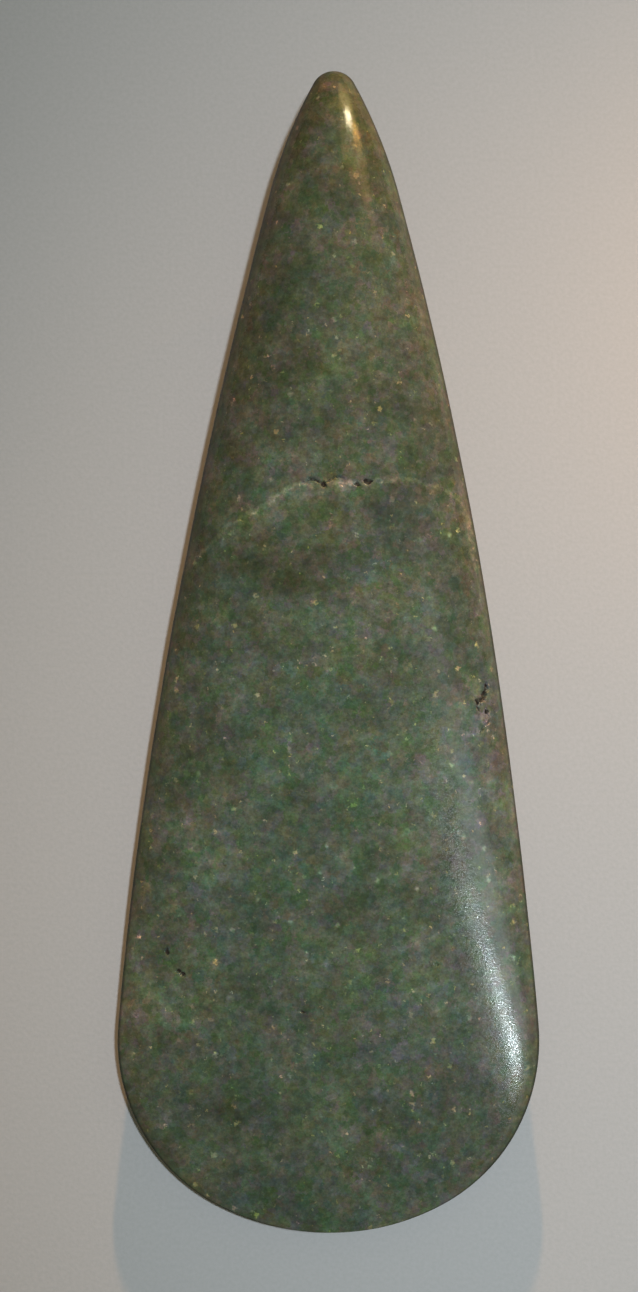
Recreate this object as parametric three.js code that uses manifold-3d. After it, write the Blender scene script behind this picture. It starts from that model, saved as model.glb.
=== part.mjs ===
// A polished jadeite axe head of the Neolithic: one stone, ground to a long drop with a rounded point at
// the butt and a broad curved cutting edge. Its section is a pointed oval, and it thins evenly to the edge.
// A short open fissure crosses the upper face and a few small chips lie by its right flank, all left as they
// are. It lies on its underside, where a stone of this form comes to rest, with a small flat there so that
// it keeps still. Units are millimetres, +Z is up, +Y points along the stone to the butt, -Y to the edge.
import * as THREE from "three";
import { mergeVertices } from "three/addons/utils/BufferGeometryUtils.js";
import Module from "manifold-3d";

// The outline from the butt's tip to the edge is a chain of arcs, each tangent to the next.
const TIP_RADIUS = 4.2;
const TIP_TURN = THREE.MathUtils.degToRad(61);
const BUTT_RADIUS = 88;
const BUTT_TURN = THREE.MathUtils.degToRad(14);
const FLANK_RADIUS = 880;
const FLANK_TURN = THREE.MathUtils.degToRad(10.1);
const SHOULDER_RADIUS = 34;
const BLADE_RADIUS = 44;
// The centre line wanders a little from side to side, as hand grinding leaves it.
const WANDER = 0.3;

// The thickness: its greatest value, and the powers by which it grows from the butt and thins to the edge.
const THICKNESS = 20;
const BUTT_POWER = 0.5;
const EDGE_POWER = 0.9;
// 0.5 would make the section an ellipse and 1 a sharp lens.
const SECTION_POWER = 0.55;

// How much of the underside is worn away at the resting flat.
const FLAT_DEPTH = 0.15;

// Hollows in the upper face: distance from the tip, offset to the right, length, width, depth, and the
// direction of the length in degrees from the axis.
const FISSURE_HOLLOWS = [
  { station: 75.3, offset: -3.9, length: 2.6, width: 0.7, depth: 0.35, heading: 78 },
  { station: 75.6, offset: -1.1, length: 3.0, width: 1.2, depth: 0.6, heading: 100 },
  { station: 75.7, offset: 5.9, length: 3.6, width: 0.8, depth: 0.4, heading: 92 },
];
const FLANK_CHIPS = [
  { station: 112.9, offset: 28.4, length: 2.6, width: 1.1, depth: 0.5, heading: 8 },
  { station: 115.6, offset: 27.2, length: 2.2, width: 1.4, depth: 0.5, heading: 35 },
  { station: 118.3, offset: 28.3, length: 2.4, width: 0.9, depth: 0.4, heading: -20 },
];

// Facets around the section, along the length and around a hollow.
const FACETS_AROUND = 60;
const FACETS_ALONG = 66;
const HOLLOW_FACETS = 10;

// Points closer than this are one point, and slopes are taken over this much of the length.
const MERGE_DISTANCE = 1e-4;
const SLOPE_SPAN = 1;

// Each arc of the outline as its centre (along the axis, out from it), its radius and where along it ends.
function outlineArcs() {
  const arcs = [];
  let along = 0;
  let out = 0;
  let heading = 0;
  function add(radius, nextHeading) {
    const centreAlong = along + radius * Math.cos(heading);
    const centreOut = out - radius * Math.sin(heading);
    heading = nextHeading;
    along = centreAlong - radius * Math.cos(heading);
    out = centreOut + radius * Math.sin(heading);
    arcs.push({ centreAlong, centreOut, radius, end: along });
  }
  add(TIP_RADIUS, TIP_TURN);
  add(BUTT_RADIUS, heading + BUTT_TURN);
  add(FLANK_RADIUS, heading + FLANK_TURN);
  // The shoulder turns until the blade's arc has its centre on the axis, and that arc ends on the axis.
  const shoulderCentreOut = out - SHOULDER_RADIUS * Math.sin(heading);
  add(SHOULDER_RADIUS, Math.PI - Math.asin(shoulderCentreOut / (BLADE_RADIUS - SHOULDER_RADIUS)));
  add(BLADE_RADIUS, Math.PI);
  return arcs;
}

const ARCS = outlineArcs();
const LENGTH = ARCS[ARCS.length - 1].end;
const THICKEST_STATION = (LENGTH * BUTT_POWER) / (BUTT_POWER + EDGE_POWER);

// Half the width at a distance from the tip.
function halfWidth(station) {
  const arc = ARCS.find((a) => station <= a.end) ?? ARCS[ARCS.length - 1];
  const along = station - arc.centreAlong;
  return Math.max(arc.centreOut + Math.sqrt(Math.max(arc.radius ** 2 - along ** 2, 0)), 0);
}

// Half the thickness on the centre line at a distance from the tip.
function halfThickness(station) {
  const fromTip = Math.max(station / THICKEST_STATION, 0) ** BUTT_POWER;
  const fromEdge = Math.max((LENGTH - station) / (LENGTH - THICKEST_STATION), 0) ** EDGE_POWER;
  return (THICKNESS / 2) * fromTip * fromEdge;
}

function centreLine(station) {
  return WANDER * Math.sin((2 * Math.PI * station) / LENGTH);
}

// How fast the half thickness grows with the distance from the tip.
function thicknessSlope(station) {
  const half = SLOPE_SPAN / 2;
  return (halfThickness(station + half) - halfThickness(station - half)) / SLOPE_SPAN;
}

// Height of the upper face over the middle plane.
function faceHeight(station, offset) {
  const share = Math.min(Math.abs(offset / halfWidth(station)), 1);
  return halfThickness(station) * (1 - share ** 2) ** SECTION_POWER;
}

function solidFrom(wasm, geometry) {
  const bare = geometry.clone();
  bare.deleteAttribute("normal");
  bare.deleteAttribute("uv");
  const merged = mergeVertices(bare, MERGE_DISTANCE);
  return new wasm.Manifold(
    new wasm.Mesh({
      numProp: 3,
      vertProperties: new Float32Array(merged.attributes.position.array),
      triVerts: new Uint32Array(merged.index.array),
    }),
  );
}

function geometryFrom(solid) {
  const mesh = solid.getMesh();
  const geometry = new THREE.BufferGeometry();
  geometry.setAttribute("position", new THREE.BufferAttribute(mesh.vertProperties, 3));
  geometry.setIndex(new THREE.BufferAttribute(mesh.triVerts, 1));
  return geometry;
}

// The ground stone before its hollows: a sphere whose poles go to the tip and to the middle of the edge, and
// whose parallels go to the sections.
function groundStone() {
  const geometry = new THREE.SphereGeometry(1, FACETS_AROUND, FACETS_ALONG);
  const points = geometry.attributes.position;
  for (let i = 0; i < points.count; i++) {
    const station = (LENGTH * (1 - points.getY(i))) / 2;
    // A pole has no direction across, and no width either.
    const ring = Math.hypot(points.getX(i), points.getZ(i)) || 1;
    const across = points.getX(i) / ring;
    const up = points.getZ(i) / ring;
    const rise = Math.sign(up) * Math.abs(up) ** (2 * SECTION_POWER);
    points.setXYZ(
      i,
      centreLine(station) + halfWidth(station) * across,
      LENGTH / 2 - station,
      halfThickness(station) * rise,
    );
  }
  return geometry;
}

// A hollow is an ellipsoid sunk into the upper face to its depth.
function hollow({ station, offset, length, width, depth, heading }) {
  const geometry = new THREE.SphereGeometry(1, HOLLOW_FACETS, HOLLOW_FACETS / 2);
  geometry.scale(width / 2, length / 2, depth);
  geometry.rotateZ(THREE.MathUtils.degToRad(heading));
  const half = SLOPE_SPAN / 2;
  const rise = faceHeight(station, offset + half) - faceHeight(station, offset - half);
  geometry.rotateY(-Math.atan(rise / SLOPE_SPAN));
  geometry.translate(centreLine(station) + offset, LENGTH / 2 - station, faceHeight(station, offset));
  return geometry;
}

// The middle of the stone's mass, as a distance from the tip.
function balanceStation(geometry) {
  const points = geometry.attributes.position;
  const [a, b, c] = [new THREE.Vector3(), new THREE.Vector3(), new THREE.Vector3()];
  let volume = 0;
  let moment = 0;
  for (let i = 0; i < geometry.index.count; i += 3) {
    [a, b, c].forEach((corner, k) => corner.fromBufferAttribute(points, geometry.index.getX(i + k)));
    const wedge = a.dot(b.clone().cross(c)) / 6;
    volume += wedge;
    moment += (wedge * (a.y + b.y + c.y)) / 4;
  }
  return LENGTH / 2 - moment / volume;
}

// The slope of the underside where the stone balances, which lies level when it rests.
function restingTilt(balance) {
  const touch = balance - halfThickness(balance) * thicknessSlope(balance);
  return -Math.atan(thicknessSlope(touch));
}

async function axeHead() {
  const wasm = await Module();
  wasm.setup();
  let stone = solidFrom(wasm, groundStone());
  for (const place of [...FISSURE_HOLLOWS, ...FLANK_CHIPS]) {
    stone = stone.subtract(solidFrom(wasm, hollow(place)));
  }
  const geometry = geometryFrom(stone);
  geometry.rotateX(restingTilt(balanceStation(geometry)));
  geometry.computeBoundingBox();
  const box = geometry.boundingBox;

  // Everything under the resting flat is cut away.
  const under = new THREE.BoxGeometry(LENGTH, LENGTH, THICKNESS);
  under.translate(0, 0, box.min.z + FLAT_DEPTH - THICKNESS / 2);
  const rested = geometryFrom(solidFrom(wasm, geometry).subtract(solidFrom(wasm, under)));

  const jadeite = new THREE.MeshStandardMaterial({ color: 0x4a5a41, roughness: 0.28, metalness: 0 });
  const mesh = new THREE.Mesh(rested, jadeite);
  mesh.name = "axe_head";
  mesh.position.set(
    -(box.min.x + box.max.x) / 2,
    -(box.min.y + box.max.y) / 2,
    -(box.min.z + FLAT_DEPTH),
  );
  return mesh;
}

const axe = new THREE.Group();
axe.add(await axeHead());

export default axe;
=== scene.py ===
# A polished jadeite axe head of the Neolithic, lying on a pale floor and seen square on to its upper face.
import math

import bmesh
import bpy
import numpy as np
from mathutils import Matrix, Vector, noise


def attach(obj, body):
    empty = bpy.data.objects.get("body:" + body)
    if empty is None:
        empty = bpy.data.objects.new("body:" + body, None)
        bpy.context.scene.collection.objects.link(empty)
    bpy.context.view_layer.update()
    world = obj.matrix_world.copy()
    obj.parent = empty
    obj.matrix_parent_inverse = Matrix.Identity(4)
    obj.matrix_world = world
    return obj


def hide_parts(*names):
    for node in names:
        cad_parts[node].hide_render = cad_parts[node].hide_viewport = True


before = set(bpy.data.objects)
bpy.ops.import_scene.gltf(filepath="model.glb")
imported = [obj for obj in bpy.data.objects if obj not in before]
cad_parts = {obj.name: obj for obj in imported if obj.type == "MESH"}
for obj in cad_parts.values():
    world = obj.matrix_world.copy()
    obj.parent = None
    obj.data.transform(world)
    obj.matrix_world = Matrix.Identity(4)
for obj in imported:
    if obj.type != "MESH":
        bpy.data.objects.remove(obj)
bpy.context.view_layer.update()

# Where the stone lies
# The stone's own frame is read from its solid: the tip of the butt and the middle of the edge are its ends in
# Y. Places on the stone are millimetres from the tip and millimetres to the right of the centre line.
MM = 0.001
corners = [corner.co.copy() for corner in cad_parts["axe_head"].data.vertices]
tip = max(corners, key=lambda corner: corner.y)
edge = min(corners, key=lambda corner: corner.y)
length = (edge - tip).length / MM
along = (edge - tip).normalized()
right = Vector((1, 0, 0))
face_up = right.cross(-along)


# The camera
# It looks down on the face from about arm's length, at the scale and with the slight lean of the photograph.
PHOTO_WIDTH, PHOTO_HEIGHT = 638, 1292
TIP_ROW, EDGE_ROW = 71.2, 1232.7
STONE_MIDDLE_COLUMN = 331.5
PHOTO_LEAN = math.radians(0.237)
CAMERA_DISTANCE = 0.6
SENSOR = 36.0

mm_per_pixel = length / (EDGE_ROW - TIP_ROW)
aim = (tip + edge) / 2
aim += right * (PHOTO_WIDTH / 2 - STONE_MIDDLE_COLUMN) * mm_per_pixel * MM
aim += along * (PHOTO_HEIGHT / 2 - (TIP_ROW + EDGE_ROW) / 2) * mm_per_pixel * MM
camera_data = bpy.data.cameras.new("camera")
camera_data.sensor_width = SENSOR
camera_data.lens = SENSOR * CAMERA_DISTANCE / (PHOTO_HEIGHT * mm_per_pixel * MM)
camera_data.clip_start = 0.01
camera = bpy.data.objects.new("camera", camera_data)
bpy.context.scene.collection.objects.link(camera)
camera_turn = Matrix((right, -along, face_up)).transposed()
camera.matrix_world = (
    Matrix.Translation(aim + face_up * CAMERA_DISTANCE)
    @ camera_turn.to_4x4()
    @ Matrix.Rotation(PHOTO_LEAN, 4, "Z")
)
bpy.context.scene.camera = camera
bpy.context.scene.view_settings.view_transform = "Standard"


# The axe head
# One stone, flaked, pecked to shape and then ground and polished all over with sand and water. A pale healed
# vein crosses its upper face, open as a fissure for part of its way, and small chips lie by its right flank.
TIP_RADIUS, TIP_TURN = 4.2, math.radians(61)
BUTT_RADIUS, BUTT_TURN = 88, math.radians(14)
FLANK_RADIUS, FLANK_TURN = 880, math.radians(10.1)
SHOULDER_RADIUS = 34
BLADE_RADIUS = 44
WANDER = 0.3
THICKNESS = 20
BUTT_POWER, EDGE_POWER, SECTION_POWER = 0.5, 0.9, 0.55

# Faces around the stone and along it. Within each of these millimetres of openings, pits, crystals and
# painted glints the mesh is made finer once.
SECTORS, RINGS = 160, 280
FINER_WITHIN = (2.2, 1.3, 0.7)

# The vein from the left flank to the right one, as stations and offsets.
VEIN = (
    (88.0, -23.5), (84.2, -19.8), (82.2, -17.0), (80.7, -13.9), (79.1, -11.6), (77.8, -9.9), (76.5, -7.9),
    (75.8, -5.2), (75.6, -2.5), (75.8, 0.5), (76.0, 3.4), (75.8, 6.3), (75.3, 9.5), (75.2, 13.5),
    (75.9, 17.3), (76.6, 20.0), (78.2, 22.6), (80.2, 23.9), (83.0, 24.7), (86.8, 25.2), (91.0, 26.0),
)
# Narrow openings: the stretches of the fissure, and the ragged border of a flake lost from the right flank.
# Each is a half width, a depth and its places.
OPENINGS = (
    (0.17, 0.33, ((76.0, -5.5), (75.2, -4.4), (75.4, -3.2), (75.9, -2.2))),
    (0.38, 0.60, ((76.0, -2.2), (76.3, -1.4))),
    (0.16, 0.27, ((75.7, -1.4), (75.0, -0.3), (74.8, 0.8), (75.1, 1.9))),
    (0.28, 0.40, ((76.1, 3.9), (76.1, 4.8))),
    (0.33, 0.50, ((75.6, 5.6), (75.6, 6.8))),
    (0.21, 0.36, ((111.8, 28.2), (112.8, 28.4), (113.7, 27.9), (114.7, 28.0), (115.1, 26.8), (115.9, 26.6))),
    (0.15, 0.28, ((115.9, 26.6), (117.2, 27.2))),
    (0.13, 0.25, ((116.6, 28.1), (118.1, 28.9), (118.9, 29.0), (119.8, 27.9), (121.7, 27.1))),
)
# How much the borders of the small marks wander, and over what distance.
JAG, JAG_CELL = 0.3, 0.7

# Pits: station, offset, half length, half width, depth, and the turn of the length from the axis in degrees.
PITS = (
    (112.3, 28.3, 0.5, 0.35, 0.4, 0), (114.0, 27.9, 0.5, 0.40, 0.4, 0), (117.2, 28.4, 0.35, 0.35, 0.4, 0),
    (115.3, 26.6, 0.6, 0.35, 0.3, 25), (116.0, 26.9, 0.9, 0.5, 0.12, 0), (160.9, -29.4, 0.75, 0.28, 0.3, 0),
    (164.6, -27.4, 0.35, 0.55, 0.35, 25), (165.0, -26.5, 0.5, 0.5, 0.4, 0), (163.1, 19.7, 0.3, 0.30, 0.2, 0),
    (178.2, -21.7, 0.5, 0.45, 0.14, 0), (171.7, -4.6, 0.2, 1.00, 0.2, -12), (184.7, 19.3, 0.3, 0.25, 0.15, 0),
)
# Weathered buff patches: station, offset, half length, half width, turn and strength.
WEATHERED = (
    (75.9, 2.3, 0.6, 1.7, 0, 0.7), (76.4, -4.3, 0.5, 1.2, 0, 0.8), (112.8, 26.0, 2.4, 1.3, 0, 0.9),
    (118.0, 28.2, 1.6, 0.9, -10, 1.0), (120.5, 26.8, 1.2, 0.5, 0, 0.6),
)
# Pale crystals that catch the eye, the last three, near the tip, being painted glints: station, offset and
# radius.
CRYSTALS_AND_GLINTS = (
    (141.3, -0.5, 0.35), (155.3, -7.0, 0.3), (151.3, -12.9, 0.35), (155.8, 1.6, 0.3), (146.2, -1.7, 0.35),
    (147.7, 8.6, 0.35), (139.8, 24.4, 0.4), (139.2, 23.4, 0.35), (141.9, 28.1, 0.35), (147.7, 29.0, 0.35),
    (149.2, 16.0, 0.35), (126.7, 22.0, 0.35), (128.5, -23.8, 0.45), (85.0, 21.2, 0.35), (102.0, 18.5, 0.35),
    (21.5, -8.4, 0.35), (5.5, -2.9, 0.25), (18.6, 1.4, 0.35),
)
# Broad tints in the stone: station, offset, half length, half width, turn, and how much browner and bluer.
# The bluer one left of the tip belongs to the painted shade there.
TINTS = (
    (122.0, -3.0, 14.0, 13.0, 0, -0.14, 0.0), (155.0, -5.0, 12.0, 14.0, 0, -0.07, 0.0),
    (38.0, -6.0, 5.0, 5.0, 0, -0.09, 0.0), (182.0, 22.0, 14.0, 8.0, 10, 0.03, 0.18),
    (117.0, 27.0, 18.0, 4.5, 0, -0.04, 0.22), (53.0, -9.0, 4.0, 5.0, 0, 0.05, -0.20),
    (86.0, -9.0, 8.0, 6.0, 0, 0.03, -0.12), (82.0, 12.0, 10.0, 7.0, 0, 0.03, 0.10),
    (62.0, -16.0, 20.0, 4.0, 0, 0.09, 0.0), (180.0, -34.0, 16.0, 5.0, 0, 0.12, 0.0),
    (10.0, -3.5, 5.0, 3.0, 0, -0.06, 0.22), (84.0, 25.0, 8.0, 2.0, 0, 0.10, -0.04),
    (150.0, 33.0, 20.0, 4.0, 0, 0.0, 0.10), (112.8, 26.0, 2.6, 1.6, 0, -0.06, -0.18),
    (76.0, -1.0, 1.2, 5.0, 0, 0.10, 0.0),
)
# Broad lighter and darker clouds in the stone: station, offset, half length, half width, turn and strength.
# The lighter one on the tip's dome is a painted golden sheen, and the darker one left of the tip is painted
# shade.
CLOUDS_SHEEN_AND_SHADE = (
    (62.0, 13.3, 4.5, 4.5, 0, -0.8), (80.3, 12.4, 2.4, 5.0, 0, -0.8), (94.0, -8.0, 2.8, 9.0, -20, -0.7),
    (91.8, -5.0, 1.8, 3.0, 0, -0.7), (109.3, 12.6, 4.6, 4.8, 0, -0.7), (119.7, -21.3, 5.0, 5.0, 0, -0.6),
    (100.5, 24.4, 5.0, 2.6, 0, -0.5), (125.2, -0.2, 2.6, 2.8, 0, -0.5), (149.5, 11.0, 4.0, 9.0, 25, -0.7),
    (153.2, 4.5, 2.6, 3.4, 0, -0.7), (188.5, 19.0, 4.5, 9.5, 15, -0.8), (190.2, -18.2, 4.5, 4.5, 0, -0.5),
    (162.0, -30.0, 2.2, 4.5, -40, -0.6), (144.4, 31.9, 3.4, 2.4, 0, -0.5), (144.4, -23.0, 3.6, 3.6, 0, 0.8),
    (170.1, -21.0, 3.0, 3.0, 0, 0.8), (135.3, -24.0, 3.2, 3.6, 0, 0.6), (128.0, 23.3, 4.0, 4.0, 0, 0.6),
    (122.5, 8.9, 1.6, 6.0, 0, 0.6), (111.5, -21.3, 3.4, 3.6, 0, 0.6), (192.0, 0.1, 4.0, 5.0, 0, 0.6),
    (167.3, -33.9, 3.6, 2.4, 0, 0.6), (77.6, -0.5, 1.6, 5.0, 0, 0.7), (85.8, -7.7, 3.0, 3.0, 0, 0.6),
    (62.0, -11.0, 12.0, 4.5, 0, -0.8), (78.5, 7.5, 3.0, 6.0, 0, -0.8), (102.3, 0.5, 3.5, 5.0, 0, -0.8),
    (135.0, 11.0, 5.0, 6.0, 0, 0.8), (143.5, -24.0, 4.0, 5.0, 0, 0.6), (160.0, 12.0, 3.0, 5.0, 0, 0.7),
    (145.0, 33.5, 14.0, 3.0, 0, 0.7), (193.0, 24.0, 4.0, 4.0, 0, 0.1), (185.0, 30.0, 2.5, 4.0, 0, -0.5),
    (177.0, -24.0, 6.0, 5.0, 0, -0.7), (2.0, 1.2, 2.6, 2.6, 0, 1.4), (10.5, -3.8, 5.0, 3.0, 0, -1.2),
    (96.0, 12.0, 6.0, 6.0, 0, 0.4), (152.0, 30.0, 8.0, 4.0, 0, 0.5), (86.0, 3.0, 9.0, 9.0, 0, -0.5),
    (36.0, -8.0, 5.0, 5.0, 0, -0.7), (143.5, -8.0, 5.0, 18.0, 0, 0.45), (169.0, 2.0, 4.0, 14.0, 0, 0.45),
    (188.0, -21.0, 6.0, 6.0, 0, -0.6), (185.0, 8.0, 3.5, 5.0, 0, 0.6),
)
# How fast clouds and tints fade away, and how much their borders wander over what distance.
FADE = 0.7
CLOUD_WARP, CLOUD_WARP_CELL = 2.2, 7.0

# The waviness that grinding by hand leaves under the polish.
WAVE_HEIGHT, WAVE_CELL = 0.07, 16.0


def outline_arcs():
    """The outline as tangent arcs from tip to edge: each one's centre along and out, radius and end."""
    arcs, at_along, at_out, heading = [], 0.0, 0.0, 0.0

    def add(radius, next_heading):
        nonlocal at_along, at_out, heading
        centre_along = at_along + radius * math.cos(heading)
        centre_out = at_out - radius * math.sin(heading)
        heading = next_heading
        at_along = centre_along - radius * math.cos(heading)
        at_out = centre_out + radius * math.sin(heading)
        arcs.append((centre_along, centre_out, radius, at_along))

    add(TIP_RADIUS, TIP_TURN)
    add(BUTT_RADIUS, heading + BUTT_TURN)
    add(FLANK_RADIUS, heading + FLANK_TURN)
    shoulder_out = at_out - SHOULDER_RADIUS * math.sin(heading)
    add(SHOULDER_RADIUS, math.pi - math.asin(shoulder_out / (BLADE_RADIUS - SHOULDER_RADIUS)))
    add(BLADE_RADIUS, math.pi)
    return arcs


ARCS = outline_arcs()
thickest = length * BUTT_POWER / (BUTT_POWER + EDGE_POWER)


def half_width(station):
    """Half the width at a distance from the tip."""
    width = np.zeros_like(station)
    begin = -1.0
    for centre_along, centre_out, radius, end in ARCS:
        reach = np.sqrt(np.maximum(radius**2 - (station - centre_along) ** 2, 0))
        width = np.where(station > begin, centre_out + reach, width)
        begin = end
    return np.maximum(width, 0)


def half_thickness(station):
    """Half the thickness on the centre line."""
    from_tip = np.maximum(station / thickest, 0) ** BUTT_POWER
    from_edge = np.maximum((length - station) / (length - thickest), 0) ** EDGE_POWER
    return THICKNESS / 2 * from_tip * from_edge


def ground(points):
    """Stations, offsets and heights of a unit sphere's points on the ground stone, poles at tip and edge."""
    points = points / np.linalg.norm(points, axis=1, keepdims=True)
    station = length * (1 - points[:, 2]) / 2
    ring = np.maximum(np.hypot(points[:, 0], points[:, 1]), 1e-9)
    across, up = points[:, 0] / ring, -points[:, 1] / ring
    offset = half_width(station) * across
    height = half_thickness(station) * np.sign(up) * np.abs(up) ** (2 * SECTION_POWER)
    return station, offset, height


def placed(station, offset, height):
    """Points of the stone in the frame."""
    centre_line = WANDER * np.sin(2 * math.pi * station / length)
    return (
        np.array(tip)
        + np.outer(station * MM, np.array(along))
        + np.outer((offset + centre_line) * MM, np.array(right))
        + np.outer(height * MM, np.array(face_up))
    )


def from_route(station, offset, route):
    """How far points are from a route over the face, below 0 on its butt side, and their share of its run."""
    route = np.array(route)
    spans = np.linalg.norm(np.diff(route, axis=0), axis=1)
    nearest = np.full(station.shape, 1e9)
    run = np.zeros_like(station)
    side = np.ones_like(station)
    walked = 0.0
    for start, end, span in zip(route[:-1], route[1:], spans):
        step = (end - start) / span
        share = ((station - start[0]) * step[0] + (offset - start[1]) * step[1]).clip(0, span)
        away = np.hypot(station - start[0] - share * step[0], offset - start[1] - share * step[1])
        closer = away < nearest
        run = np.where(closer, (walked + share) / spans.sum(), run)
        turned = (station - start[0]) * step[1] - (offset - start[1]) * step[0]
        side = np.where(closer, np.sign(turned), side)
        nearest = np.minimum(nearest, away)
        walked += span
    return side * nearest, run


def ellipse(station, offset, place):
    """Squared distance from the middle of an ellipse on the face, 1 at its border."""
    at_station, at_offset, half_length, half_breadth, turn = place
    turn = math.radians(turn)
    lengthwise = (station - at_station) * math.cos(turn) + (offset - at_offset) * math.sin(turn)
    across = (offset - at_offset) * math.cos(turn) - (station - at_station) * math.sin(turn)
    return (lengthwise / half_length) ** 2 + (across / half_breadth) ** 2


def from_marks(station, offset):
    """How far points of the upper face are from the nearest of the openings, pits, crystals and painted
    glints.
    """
    away = np.full(station.shape, 1e9)
    for *_, route in OPENINGS:
        away = np.minimum(away, np.abs(from_route(station, offset, route)[0]))
    for mark in PITS + CRYSTALS_AND_GLINTS:
        away = np.minimum(away, np.hypot(station - mark[0], offset - mark[1]))
    return away


stone = bmesh.new()
bmesh.ops.create_uvsphere(stone, u_segments=SECTORS, v_segments=RINGS, radius=1)
for reach in FINER_WITHIN:
    faces = list(stone.faces)
    station, offset, height = ground(np.array([face.calc_center_median() for face in faces]))
    near = (from_marks(station, offset) < reach) & (height > 0)
    finer = {e for face, chosen in zip(faces, near) if chosen for e in face.edges}
    bmesh.ops.subdivide_edges(stone, edges=list(finer), cuts=1, use_grid_fill=True)
bmesh.ops.triangulate(stone, faces=[face for face in stone.faces if len(face.verts) > 4])
station, offset, height = ground(np.array([v.co for v in stone.verts]))
# The marks are on the upper face and fade out over the lowest millimetre of its height.
upper = np.clip(height, 0, 1)

ground_place = placed(station, offset, height)
for v, co in zip(stone.verts, ground_place):
    v.co = co
bmesh.ops.recalc_face_normals(stone, faces=stone.faces)
stone.normal_update()

# The waves die out towards the ends, where the stone is narrow.
WAVED_HALF_WIDTH = 12
wave = np.array([noise.noise(Vector(co) / (WAVE_CELL * MM)) for co in ground_place]) * WAVE_HEIGHT
wave *= np.clip(half_width(station) / WAVED_HALF_WIDTH, 0, 1)

# A seed makes the borders of marks and clouds wander alike in each run.
WANDERING_SEED = 12
noise.seed_set(WANDERING_SEED)


def wandering(cell, reach):
    """A smooth random step in millimetres for every point of the stone."""
    return np.array([noise.noise_vector(Vector(co) / (cell * MM)) for co in ground_place]) * reach


jag = wandering(JAG_CELL, JAG)
jag_station, jag_offset = station + jag[:, 0], offset + jag[:, 1]
relief = wave.copy()
# Openings narrow to this share of their width at their ends. Openings and pits are painted quite dark with
# dirt and shade from these depths on.
END_SHARE = 0.4
DARK_OPENING_DEPTH, DARK_PIT_DEPTH = 0.5, 0.3
hollow = np.zeros_like(station)
for half_breadth, depth, route in OPENINGS:
    away, run = from_route(jag_station, jag_offset, route)
    here_breadth = half_breadth * (1 - (1 - END_SHARE) * (2 * run - 1) ** 2)
    opened = np.clip(1 - (away / (2.0 * here_breadth)) ** 2, 0, 1) * upper
    relief -= depth * np.maximum(opened - hollow, 0)
    hollow = np.maximum(hollow, opened * min(depth / DARK_OPENING_DEPTH, 1))
for *place, depth, turn in PITS:
    bowl = np.clip(1 - ellipse(jag_station, jag_offset, (*place, turn)) / 1.6, 0, 1) ** 0.7 * upper
    relief -= depth * bowl
    hollow = np.maximum(hollow, bowl * min(depth / DARK_PIT_DEPTH, 1))
for v, height_change in zip(stone.verts, relief):
    v.co += v.normal * float(height_change) * MM
    v.co.z = max(v.co.z, 0)

warp = wandering(CLOUD_WARP_CELL, CLOUD_WARP)
warp_station, warp_offset = station + warp[:, 0], offset + warp[:, 1]
# Besides the stone's clouds, this paints a golden sheen on the tip's dome and shade left of the tip.
cloud_sheen_and_shade = np.zeros_like(station)
for *place, strength in CLOUDS_SHEEN_AND_SHADE:
    cloud_sheen_and_shade += strength * np.exp(-FADE * ellipse(warp_station, warp_offset, place) ** 1.2) * upper
browner = np.zeros_like(station)
bluer = np.zeros_like(station)
for *place, more_brown, more_blue in TINTS:
    tinted = np.exp(-FADE * ellipse(warp_station, warp_offset, place)) * upper
    browner += more_brown * tinted
    bluer += more_blue * tinted
# A pale band lies on the blade side of the vein's left half, and the vein's right end is stained.
PALE_BREADTH, PALE_UNTIL = 4.6, 0.58
STAINED_FROM, STAINED_BREADTH, STAINED_STRENGTH = 0.74, 2.2, 0.4
FAR_FROM_VEIN = 9.0
vein_away, vein_run = from_route(station, offset, VEIN)
vein = np.where(height > 0, np.clip(vein_away, -FAR_FROM_VEIN, FAR_FROM_VEIN), FAR_FROM_VEIN)
pale_border = PALE_BREADTH - vein_away + 0.4 * warp[:, 2]
pale = np.clip(np.minimum((vein_away + 0.6) / 1.2, pale_border / 3.0), 0, 1)
pale *= np.clip((PALE_UNTIL - vein_run) / 0.16, 0, 1) * np.clip(vein_run / 0.08, 0, 1) * upper
weathered = STAINED_STRENGTH * np.clip(1.2 - np.abs(vein_away - 0.6) / STAINED_BREADTH, 0, 1)
weathered *= np.clip((vein_run - STAINED_FROM) / 0.1, 0, 1) * upper
for *place, strength in WEATHERED:
    patch = np.clip(1.5 - ellipse(jag_station, jag_offset, place), 0, 1) * upper
    weathered = np.maximum(weathered, strength * patch)
# Crystals, and the glints painted near the tip, are lighter.
crystal_and_glint = np.zeros_like(station)
for at_station, at_offset, radius in CRYSTALS_AND_GLINTS:
    apart = np.hypot(jag_station - at_station, jag_offset - at_offset) / radius
    crystal_and_glint = np.maximum(crystal_and_glint, np.clip(1.6 - apart, 0, 1) * upper)

# The left margin darkens outwards as far as the blade, partly in the stone's own colour and partly as painted
# shade on the side turned from the lamps, and painted shade darkens the left edge. The blade's end and the
# butt half are a little darker, the rim is browner, and the butt is browner with patina and a painted warm
# sheen.
LEFT_MARGIN, LEFT_EDGE_SHADE, LEFT_MARGIN_ENDS = 16, 2.5, 165
BLADE_END, BUTT_HALF = 180, 110
RIM_BREADTH, BUTT_LENGTH = 6, 28
rim = np.where(half_width(station) > 0, half_width(station) - np.abs(offset), 0)
left_margin_colour_and_shade = np.clip(1 - (half_width(station) + warp_offset) / LEFT_MARGIN, 0, 1) ** 1.3
left_margin_colour_and_shade *= np.clip((LEFT_MARGIN_ENDS - station) / 60, 0, 1)
left_edge_shade = np.clip(1 - (half_width(station) + offset) / LEFT_EDGE_SHADE, 0, 1) * (offset < 0)
blade_end = np.clip((warp_station - BLADE_END) / 16, 0, 1)
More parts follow.
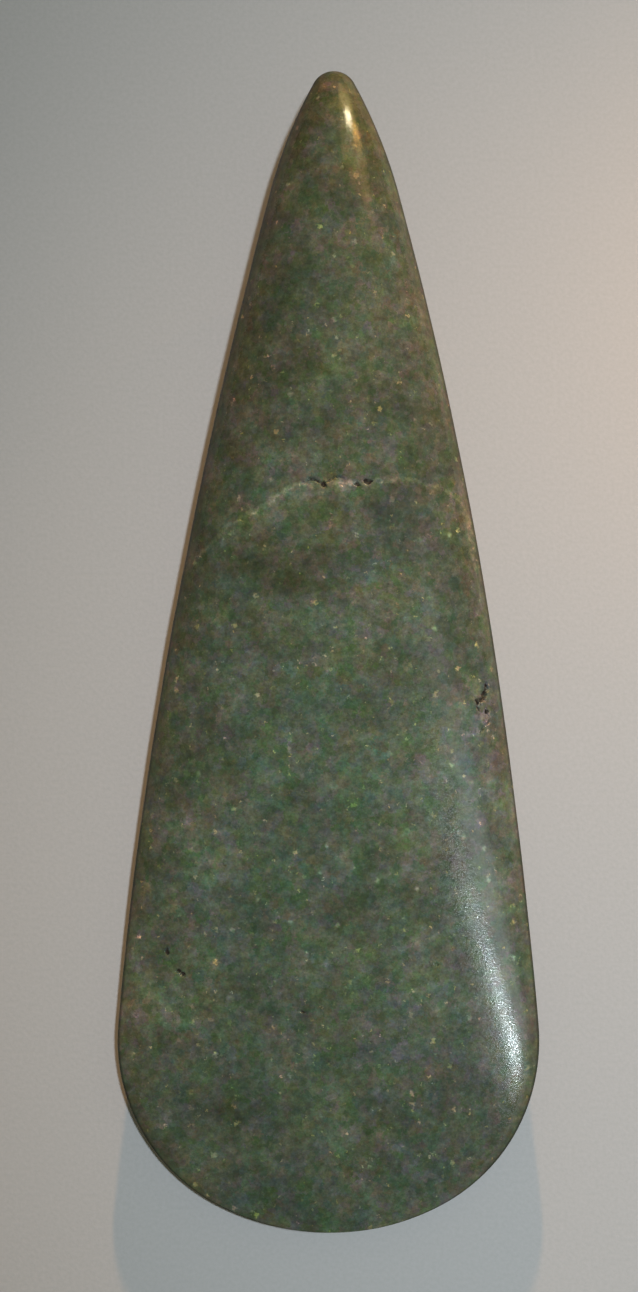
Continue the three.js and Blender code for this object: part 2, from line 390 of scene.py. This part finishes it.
butt_half = np.clip((BUTT_HALF - station) / 40, 0, 1)
tone_and_shade = -0.50 * left_margin_colour_and_shade - 0.3 * left_edge_shade - 0.14 * blade_end - 0.10 * butt_half
butt = np.clip((BUTT_LENGTH - station) / 20, 0, 1)
rim_near = np.clip(1 - rim / RIM_BREADTH, 0, 1)
browner += 0.14 * rim_near + 0.14 * butt
bluer -= 0.10 * rim_near + 0.22 * butt

stone_data = bpy.data.meshes.new("axe head")
stone.to_mesh(stone_data)
stone.free()
stone_data.shade_smooth()
for name, values in (
    ("cloud_sheen_and_shade", cloud_sheen_and_shade), ("browner", browner), ("bluer", bluer), ("vein", vein), ("pale", pale),
    ("weathered", weathered), ("hollow", hollow), ("crystal_and_glint", crystal_and_glint), ("rim", np.minimum(rim, 20.0)),
    ("tone_and_shade", tone_and_shade), ("station", station),
):
    stone_data.attributes.new(name, "FLOAT", "POINT").data.foreach_set("value", values.astype(np.float32))
axe = bpy.data.objects.new("axe_head_stone", stone_data)
bpy.context.scene.collection.objects.link(axe)


def srgb(red, green, blue):
    """A colour as a screen shows it, 0 to 255, as the shader's linear values."""
    shares = [value / 255 for value in (red, green, blue)]
    return [s / 12.92 if s <= 0.04045 else ((s + 0.055) / 1.055) ** 2.4 for s in shares] + [1.0]


jadeite = bpy.data.materials.new("polished jadeite")
jadeite.use_nodes = True


def shade(material, kind, sockets=None, **properties):
    """A node in a material, with values or links for its sockets and its own properties."""
    made = material.node_tree.nodes.new("ShaderNode" + kind)
    for name, value in properties.items():
        setattr(made, name, value)
    for socket, value in (sockets or {}).items():
        if isinstance(value, bpy.types.NodeSocket):
            material.node_tree.links.new(value, made.inputs[socket])
        else:
            made.inputs[socket].default_value = value
    return made


def calculate(operation, *values):
    """A sum in the stone's material."""
    return shade(jadeite, "Math", dict(enumerate(values)), operation=operation).outputs[0]


def painted(name):
    """What a vertex attribute of the stone says."""
    return shade(jadeite, "Attribute", attribute_name=name).outputs["Fac"]


stone_place = shade(jadeite, "TexCoord").outputs["Object"]


def mottling(cell, octaves, strength, seed, finer_share=0.95):
    """Signed noise over the stone from a coarsest cell in millimetres, each octave a share of the last."""
    moved = shade(jadeite, "Mapping", {"Vector": stone_place, "Location": (seed, 2 * seed, 3 * seed)})
    made = shade(
        jadeite, "TexNoise",
        {
            "Vector": moved.outputs[0], "Scale": 1 / (cell * MM), "Detail": octaves - 1,
            "Roughness": finer_share,
        },
        normalize=False,
    )
    return calculate("MULTIPLY", made.outputs["Fac"], strength)


def band(value, full, none):
    """1 up to one value, 0 from another on."""
    made = shade(
        jadeite, "MapRange", {"Value": value, "From Min": full, "From Max": none, "To Min": 1, "To Max": 0},
        interpolation_type="SMOOTHSTEP",
    )
    return made.outputs[0]


def total(*values):
    """The sum of several values."""
    result = values[0]
    for value in values[1:]:
        result = calculate("ADD", result, value)
    return result


def weighed(value, weight):
    """A value times a weight."""
    return calculate("MULTIPLY", value, weight)


# The stone's colour is a base times the exponentials of three sums: one for lightness, one that turns green
# to brown, and one that turns yellow to blue.
GREEN = srgb(108, 120, 99)

# Besides the stone's own colour, these sums carry painted light: a sheen on the tip's dome, shade left of the
# tip and shade along the left side.
lightness = total(
    weighed(painted("cloud_sheen_and_shade"), 0.26),
    painted("tone_and_shade"),
    mottling(14, 6, 0.26, 0.1),
    mottling(1.6, 5, 0.17, 0.4),
)
brown = total(painted("browner"), mottling(9, 7, 0.12, 0.2), 0.03)
blue = total(painted("bluer"), mottling(7, 7, 0.135, 0.3))

# Grains tint the stone: cell, seed and strength. Small pale and yellowish flecks are scattered through it:
# cell, radius, share of the cells, seed and strength. The borders of both are ragged.
GRAINS = ((2.6, 0.03, 0.16), (1.1, 0.04, 0.19))
FLECKS = ((1.5, 0.35, 0.6, 0.01, 1.1), (3.6, 0.7, 0.7, 0.02, 1.2))
RAGGED_CELL, RAGGED_REACH = 0.5, 0.45

ragged = shade(
    jadeite, "TexNoise", {"Vector": stone_place, "Scale": 1 / (RAGGED_CELL * MM), "Detail": 1},
    normalize=False,
)
ragged_step = shade(
    jadeite, "VectorMath", {0: ragged.outputs["Color"], "Scale": RAGGED_REACH * MM}, operation="SCALE",
)
ragged_place = shade(jadeite, "VectorMath", {0: stone_place, 1: ragged_step.outputs[0]}, operation="ADD")


def scattered(cell, radius, share, seed):
    """Flecks of a radius in a share of a Voronoi pattern's cells: how strongly each shows, and its kind."""
    moved = shade(jadeite, "Mapping", {"Vector": ragged_place.outputs[0], "Location": (seed, seed, -seed)})
    cells = shade(jadeite, "TexVoronoi", {"Vector": moved.outputs[0], "Scale": 1 / (cell * MM)})
    kind = shade(jadeite, "SeparateColor", {"Color": cells.outputs["Color"]})
    inside = band(cells.outputs["Distance"], 0.4 * radius / cell, radius / cell)
    chosen = shade(
        jadeite, "MapRange", {"Value": kind.outputs["Red"], "From Min": 1 - share, "From Max": 1.0},
    )
    return calculate("MULTIPLY", inside, chosen.outputs[0]), kind


for cell, seed, strength in GRAINS:
    moved = shade(jadeite, "Mapping", {"Vector": ragged_place.outputs[0], "Location": (seed, -seed, seed)})
    cells = shade(jadeite, "TexVoronoi", {"Vector": moved.outputs[0], "Scale": 1 / (cell * MM)})
    kind = shade(jadeite, "SeparateColor", {"Color": cells.outputs["Color"]})
    lightness = total(lightness, weighed(total(kind.outputs["Red"], -0.5), strength))
    violet = weighed(total(kind.outputs["Green"], -0.5), 1.9 * strength)
    brown = total(brown, violet)
    blue = total(blue, weighed(violet, 0.7), weighed(total(kind.outputs["Blue"], -0.5), 1.6 * strength))

for cell, radius, share, seed, strength in FLECKS:
    fleck, kind = scattered(cell, radius, share, seed)
    lightness = total(lightness, weighed(fleck, strength))
    yellowish = calculate("MULTIPLY", fleck, kind.outputs["Green"])
    reddish = calculate("MULTIPLY", fleck, kind.outputs["Blue"])
    blue = total(blue, weighed(yellowish, -0.6))
    brown = total(brown, weighed(fleck, 0.10), weighed(reddish, 0.35))
# Crystals and the painted glints near the tip lighten the stone.
lightness = total(lightness, weighed(painted("crystal_and_glint"), 0.9))

# A fine dark line of painted shade follows the rim, where the surface turns away and the polish ends.
painted_rim_shade = band(painted("rim"), 0.1, 0.6)
lightness = total(lightness, weighed(painted_rim_shade, -0.9))

# The vein is a pale buff line, with a paler green band along a part of it and stained patches.
vein_here = total(painted("vein"), mottling(3.0, 4, 0.35, 0.6))
vein_off = calculate("ABSOLUTE", vein_here)
vein_patchy = calculate("ADD", mottling(2.5, 4, 0.55, 0.7), 1.0)
vein_line = calculate("MULTIPLY", band(vein_off, 0.1, 0.75), vein_patchy)
vein_wide = calculate("MULTIPLY", painted("pale"), vein_patchy)
stain = calculate("MULTIPLY", painted("weathered"), vein_patchy)
lightness = total(lightness, weighed(vein_line, 0.38), weighed(vein_wide, 0.30), weighed(stain, 0.34))
brown = total(brown, weighed(vein_line, 0.05), weighed(stain, 0.11))
blue = total(blue, weighed(stain, -0.03))

colour_factors = shade(
    jadeite, "CombineXYZ",
    {
        "X": calculate("EXPONENT", total(lightness, brown)),
        "Y": calculate("EXPONENT", lightness),
        "Z": calculate("EXPONENT", total(lightness, blue)),
    },
)
coloured = shade(
    jadeite, "VectorMath", {0: GREEN[:3], 1: colour_factors.outputs[0]}, operation="MULTIPLY",
)
# Old dirt and painted shade lie in the hollows, thinner where they are shallow.
DIRT_AND_SHADE = srgb(62, 52, 46)
dirt_and_shade_share = band(total(painted("hollow"), mottling(0.9, 3, 0.35, 0.9)), 0.85, 0.2)
dirt_and_shade = shade(
    jadeite, "Mix", {0: dirt_and_shade_share, 6: coloured.outputs[0], 7: DIRT_AND_SHADE},
    data_type="RGBA",
)
shader = jadeite.node_tree.nodes["Principled BSDF"]
stone_links = jadeite.node_tree.links
stone_links.new(dirt_and_shade.outputs[2], shader.inputs["Base Color"])
# The polish is finest on the butt, speckled by the grain, and matt in the hollows and along the rim.
POLISH, BUTT_POLISH = 0.178, 0.118
handled = band(painted("station"), 12.0, 45.0)
roughness_sum = total(
    POLISH, weighed(handled, BUTT_POLISH - POLISH), mottling(5, 4, 0.02, 0.5), mottling(0.45, 2, 0.10, 0.8),
    weighed(painted("hollow"), 0.4), weighed(band(painted("rim"), 0.8, 2.5), 0.45),
)
stone_links.new(roughness_sum, shader.inputs["Roughness"])
shader.inputs["IOR"].default_value = 1.66
shader.inputs["Specular IOR Level"].default_value = 0.4
stone_grain = mottling(0.5, 3, 0.5, 0.6, 0.8)
grain_bump = shade(jadeite, "Bump", {"Height": stone_grain, "Strength": 0.2, "Distance": 0.03 * MM})
stone_links.new(grain_bump.outputs["Normal"], shader.inputs["Normal"])
stone_data.materials.append(jadeite)

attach(axe, "root")
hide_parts("axe_head")


# The floor
# A wide sheet of pale painted board, matt, with the faint unevenness of rolled paint.
FLOOR_SIZE = 6.0
PAINT_GRAIN = 1 / 1.4

floor_mesh = bmesh.new()
bmesh.ops.create_grid(floor_mesh, x_segments=2, y_segments=2, size=FLOOR_SIZE / 2)
floor_data = bpy.data.meshes.new("floor")
floor_mesh.to_mesh(floor_data)
floor_mesh.free()
floor = bpy.data.objects.new("floor", floor_data)
bpy.context.scene.collection.objects.link(floor)
paint = bpy.data.materials.new("floor paint")
paint.use_nodes = True
paint_links = paint.node_tree.links
paint_shader = paint.node_tree.nodes["Principled BSDF"]
paint_shader.inputs["Roughness"].default_value = 0.7
paint_shader.inputs["Specular IOR Level"].default_value = 0.2
floor_place = shade(paint, "TexCoord").outputs["Object"]
paint_grain = shade(paint, "TexNoise", {"Vector": floor_place, "Scale": 1 / (PAINT_GRAIN * MM), "Detail": 3})
paint_tone = shade(paint, "ValToRGB", {"Fac": paint_grain.outputs["Fac"]})
darker, lighter = paint_tone.color_ramp.elements
darker.position, lighter.position = 0.3, 0.7
darker.color, lighter.color = srgb(224, 225, 227), srgb(231, 231, 234)
paint_links.new(paint_tone.outputs["Color"], paint_shader.inputs["Base Color"])
rolled = shade(paint, "Bump", {"Height": paint_grain.outputs["Fac"], "Strength": 0.15, "Distance": 0.2 * MM})
paint_links.new(rolled.outputs["Normal"], paint_shader.inputs["Normal"])
floor_data.materials.append(paint)


# The light
# A cool lamp almost overhead, a low warm beam from beyond the butt and a soft warm glow on the right light
# the stone and the floor. The others are only seen mirrored in the polish.


def hung(name, kind, at, target, colour, power):
    """A lamp of a kind at a place, turned to a target and unseen by the camera."""
    data = bpy.data.lights.new(name, kind)
    data.color = colour
    data.energy = power
    made = bpy.data.objects.new(name, data)
    bpy.context.scene.collection.objects.link(made)
    made.location = at
    made.rotation_euler = (Vector(at) - Vector(target)).to_track_quat("Z", "Y").to_euler()
    made.visible_camera = False
    return made


# The middle of the picture on the floor, from which the lamps are placed.
stage_middle = Vector((aim.x, aim.y, 0))

OVERHEAD_AWAY, OVERHEAD_LEAN = 2.0, Vector((0.14, 0.08, 1))
overhead = hung(
    "overhead lamp", "SPOT", stage_middle + OVERHEAD_AWAY * OVERHEAD_LEAN.normalized(),
    stage_middle + Vector((0.202, -0.022, 0)), (0.845, 0.943, 1.0), 77,
)
overhead.data.shadow_soft_size = 0.055
overhead.data.spot_size, overhead.data.spot_blend = math.radians(24.0), 1.0
overhead.visible_glossy = False

LOW_AWAY, LOW_ELEVATION = 1.2, math.radians(11.3)
low_place = stage_middle + LOW_AWAY * Vector((0, math.cos(LOW_ELEVATION), math.sin(LOW_ELEVATION)))
level_target = low_place - Vector((0, 1, 0))
low_lamp = hung("low lamp", "SPOT", low_place, level_target, (1.0, 0.534, 0.226), 37.5)
low_lamp.data.shadow_soft_size = 0.015
low_lamp.data.spot_size, low_lamp.data.spot_blend = math.radians(25.4), 0.208
low_lamp.visible_glossy = False

GLOW_HEIGHT = 0.085
glow_foot = stage_middle + Vector((0.111, 0.070, 0))
glow = hung(
    "right glow", "AREA", glow_foot + Vector((0, 0, GLOW_HEIGHT)), glow_foot, (1.0, 0.508, 0.181), 0.0328,
)
glow.data.shape, glow.data.size = "DISK", 0.06
glow.data.use_shadow = False
glow.visible_glossy = False


def mirrored_at(station, offset):
    """A place on the upper face, and where the polish there mirrors to for the camera."""
    step = 0.05
    stations = np.array([station, station + step, station])
    offsets = np.array([offset, offset, offset + step])
    share = np.clip(np.abs(offsets / half_width(stations)), 0, 1)
    heights = half_thickness(stations) * (1 - share**2) ** SECTION_POWER
    here, further, beside = [Vector(point) for point in placed(stations, offsets, heights)]
    normal = (beside - here).cross(further - here).normalized()
    if normal.dot(face_up) < 0:
        normal.negate()
    seen_from = (camera.matrix_world.translation - here).normalized()
    return here, 2 * normal.dot(seen_from) * normal - seen_from


def mirrored_lamp(name, station, offset, distance, size, colour, power, lie=right):
    """A lamp that only the polish shows, at a place on the face, with its first size along a direction."""
    here, towards = mirrored_at(station, offset)
    made = hung(name, "AREA", here + towards * distance, here, colour, power)
    first = (lie - towards * lie.dot(towards)).normalized()
    made.rotation_euler = Matrix((first, towards.cross(first), towards)).transposed().to_euler()
    made.data.shape = "RECTANGLE"
    made.data.size, made.data.size_y = size
    made.visible_diffuse = False
    return made


# The polish shows one lamp and the halo around it as a streak by the right shoulder, and one with a warm tail
# as a bright spot near the tip. Two golden panels give the butt its sheen.
LAMP_AWAY, PANEL_AWAY = 1.5, 1.0
COOL, HALO = (0.84, 0.96, 1.0), (0.94, 0.95, 1.0)
WARM, TAIL, GOLD = (1.0, 0.86, 0.56), (1.0, 0.45, 0.09), (1.0, 0.70, 0.22)
ACROSS_TIP = 0.87 * right - 0.49 * along
mirrored_lamp("streak lamp", 178.0, 33.8, LAMP_AWAY, (0.045, 0.10), COOL, 2.1)
mirrored_lamp("streak halo", 136.0, 26.0, LAMP_AWAY, (0.20, 0.30), COOL, 0.22)
mirrored_lamp("edge halo", 173.0, 35.2, LAMP_AWAY, (0.26, 0.30), HALO, 0.36)
mirrored_lamp("spot lamp", 9.0, 2.5, LAMP_AWAY, (0.34, 0.03), WARM, 4.2, ACROSS_TIP)
mirrored_lamp("tail lamp", 12.0, 3.9, LAMP_AWAY, (0.34, 0.05), TAIL, 0.9, ACROSS_TIP)
mirrored_lamp("butt panel", 10.0, 2.6, PANEL_AWAY, (0.6, 0.5), GOLD, 1.1)
mirrored_lamp("inner panel", 5.0, 1.8, PANEL_AWAY, (0.5, 0.36), GOLD, 1.1)

world = bpy.data.worlds.new("room")
world.use_nodes = True
world.node_tree.nodes["Background"].inputs["Color"].default_value = (0.089, 0.0865, 0.0586, 1)
bpy.context.scene.world = world
